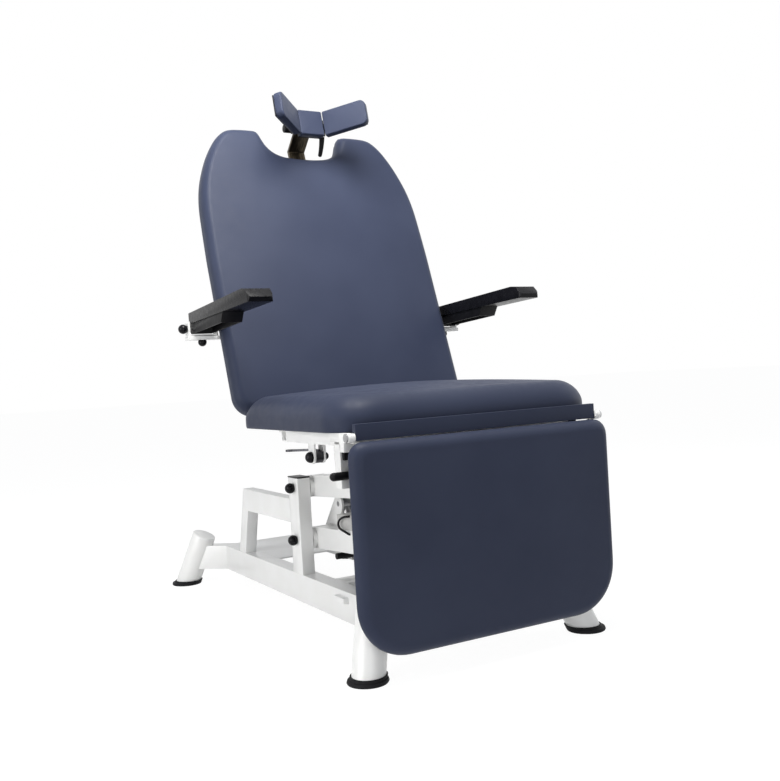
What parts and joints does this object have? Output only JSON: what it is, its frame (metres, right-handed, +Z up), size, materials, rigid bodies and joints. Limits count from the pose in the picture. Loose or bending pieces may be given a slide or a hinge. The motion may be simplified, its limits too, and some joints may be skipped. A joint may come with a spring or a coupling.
{
  "type": "electric ear nose throat examination chair",
  "caption": "Electric ear, nose and throat examination chair with a parallel-arm lift, reclining back, folding leg rest, flip-up armrests and a winged headrest.",
  "frame": {"origin": "centre of the bounding box's underside, on the floor between the feet", "axes": "+Z up, +X to the seated patient's left, the chair faces -Y"},
  "size_m": [0.774, 1.1946, 1.2482],
  "materials": {
    "white_paint": "gloss",
    "navy_leatherette": "satin",
    "black_rubber": "matte",
    "black_plastic": "satin",
    "black_padding": "satin",
    "steel": "satin",
    "black_paint": "satin",
    "grey_plastic": "matte",
    "dark_bronze": "satin"
  },
  "bodies": {
    "base": {"base_rails": "white_paint", "cross_beams": "white_paint", "leg_tubes": "white_paint", "rubber_feet": "black_rubber", "uprights": "white_paint", "upright_plugs": "black_plastic", "rear_braces": "white_paint", "base_pins": "steel", "rear_pivot_caps": "black_plastic"},
    "lower_arms": {"lower_arms": "white_paint", "lower_arm_bushes": "steel", "control_box": "grey_plastic", "motor_cable": "black_rubber", "crank_pin": "steel"},
    "upper_arms": {"upper_arms": "white_paint", "upper_arm_bushes": "steel"},
    "lift_motor": {"lift_motor": "black_paint", "motor_plug": "black_plastic"},
    "lift_rod": {"lift_rod": "steel"},
    "seat": {"carriage": "white_paint", "seat_frame": "white_paint", "seat_board": "navy_leatherette", "seat_cushion": "navy_leatherette", "front_strip": "navy_leatherette", "rubber_bumpers": "black_rubber", "seat_pins": "steel", "seat_pin_caps": "black_plastic"},
    "release_lever": {"release_lever": "steel"},
    "grip_lever": {"grip_lever": "steel", "lever_grip": "black_plastic"},
    "backrest": {"backrest_frame": "white_paint", "backrest_board": "navy_leatherette", "backrest_cushion": "navy_leatherette", "headrest_socket": "white_paint", "armrest_bars": "white_paint", "armrest_brackets": "white_paint", "backrest_pins": "steel", "armrest_caps": "black_plastic"},
    "height_knob": {"height_knob": "black_plastic"},
    "back_spring_tube": {"back_spring_tube": "black_paint"},
    "back_spring_rod": {"back_spring_rod": "steel"},
    "leg_rest": {"legrest_frame": "white_paint", "legrest_board": "navy_leatherette", "legrest_cushion": "navy_leatherette", "legrest_pins": "steel"},
    "right_armrest": {"right_armrest_pad": "black_padding", "right_armrest_shell": "black_plastic"},
    "left_armrest": {"left_armrest_pad": "black_padding", "left_armrest_shell": "black_plastic"},
    "headrest_bar": {"headrest_bar": "dark_bronze"},
    "headrest": {"headrest_cradle": "black_paint", "headrest_pad": "navy_leatherette", "tilt_knob": "black_plastic", "wing_pins": "steel"},
    "tilt_lever": {"tilt_lever": "black_plastic"},
    "right_wing": {"right_wing": "black_paint", "right_wing_pad": "navy_leatherette"},
    "left_wing": {"left_wing": "black_paint", "left_wing_pad": "navy_leatherette"}
  },
  "joints": [
    {"name": "lift", "type": "hinge", "parent": "base", "child": "lower_arms", "pos_m": [0, -0.04081, 0.187], "axis": [-1, 0, 0], "range_deg": [0, 40]},
    {"name": "upper_arms_pivot", "type": "hinge", "parent": "base", "child": "upper_arms", "pos_m": [0, -0.04081, 0.307], "axis": [-1, 0, 0], "range_deg": [0, 40]},
    {"name": "seat_level", "type": "hinge", "parent": "lower_arms", "child": "seat", "pos_m": [0, -0.43907, 0.21136], "axis": [-1, 0, 0], "range_deg": [-40, 0]},
    {"name": "lift_motor_pivot", "type": "hinge", "parent": "base", "child": "lift_motor", "pos_m": [-0.07, -0.16781, 0.128], "axis": [-1, 0, 0], "range_deg": [0, 13]},
    {"name": "lift_rod_slide", "type": "slide", "parent": "lift_motor", "child": "lift_rod", "axis": [0, 0.5076, 0.8616], "range_m": [0, 0.049]},
    {"name": "recline", "type": "hinge", "parent": "seat", "child": "backrest", "pos_m": [0, -0.01384, 0.44801], "axis": [-1, 0, 0], "range_deg": [0, 70]},
    {"name": "back_spring_pivot", "type": "hinge", "parent": "seat", "child": "back_spring_tube", "pos_m": [0, -0.16181, 0.395], "axis": [-1, 0, 0], "range_deg": [0, 10.6]},
    {"name": "back_spring_slide", "type": "slide", "parent": "back_spring_tube", "child": "back_spring_rod", "axis": [0, 0.9835, 0.1811], "range_m": [-0.0476, 0]},
    {"name": "leg_rest", "type": "hinge", "parent": "seat", "child": "leg_rest", "pos_m": [0, -0.55881, 0.4475], "axis": [-1, 0, 0], "range_deg": [0, 85]},
    {"name": "right_armrest_flip", "type": "hinge", "parent": "backrest", "child": "right_armrest", "pos_m": [-0.332, 0.07019, 0.686], "axis": [-1, 0, 0], "range_deg": [0, 85]},
    {"name": "left_armrest_flip", "type": "hinge", "parent": "backrest", "child": "left_armrest", "pos_m": [0.332, 0.07019, 0.686], "axis": [-1, 0, 0], "range_deg": [0, 85]},
    {"name": "headrest_height", "type": "slide", "parent": "backrest", "child": "headrest_bar", "axis": [0, 0.3256, 0.9455], "range_m": [-0.005, 0.1]},
    {"name": "headrest_tilt", "type": "hinge", "parent": "headrest_bar", "child": "headrest", "pos_m": [0, 0.15162, 1.19047], "axis": [-1, 0, 0], "range_deg": [-30, 30]},
    {"name": "right_wing_fold", "type": "hinge", "parent": "headrest", "child": "right_wing", "pos_m": [-0.04469, 0.13699, 1.1938], "axis": [0, -0.2215, -0.9751], "range_deg": [0, 35]},
    {"name": "left_wing_fold", "type": "hinge", "parent": "headrest", "child": "left_wing", "pos_m": [0.04469, 0.13699, 1.1938], "axis": [0, 0.2215, 0.9751], "range_deg": [0, 35]},
    {"name": "tilt_lever_turn", "type": "hinge", "parent": "headrest", "child": "tilt_lever", "pos_m": [0.036, 0.15162, 1.19047], "axis": [-1, 0, 0], "range_deg": [-20, 32]},
    {"name": "height_knob_turn", "type": "hinge", "parent": "backrest", "child": "height_knob", "pos_m": [0, 0.17167, 0.99015], "axis": [0, 0.9455, -0.3256], "range_deg": [-720, 0]},
    {"name": "release_lever_turn", "type": "hinge", "parent": "seat", "child": "release_lever", "pos_m": [-0.2627, -0.37681, 0.404], "axis": [-1, 0, 0], "range_deg": [0, 14]},
    {"name": "grip_lever_turn", "type": "hinge", "parent": "seat", "child": "grip_lever", "pos_m": [-0.248, -0.44681, 0.377], "axis": [-1, 0, 0], "range_deg": [0, 12]}
  ],
  "couplings": [
    {"joint": "upper_arms_pivot", "follows": "lift", "ratio": 1},
    {"joint": "seat_level", "follows": "lift", "ratio": -1},
    {"joint": "lift_motor_pivot", "follows": "lift", "ratio": 0.31589},
    {"joint": "lift_rod_slide", "follows": "lift", "m_per_rad": 0.068702},
    {"joint": "back_spring_pivot", "follows": "recline", "ratio": 0.14912},
    {"joint": "back_spring_slide", "follows": "recline", "m_per_rad": -0.038791}
  ]
}
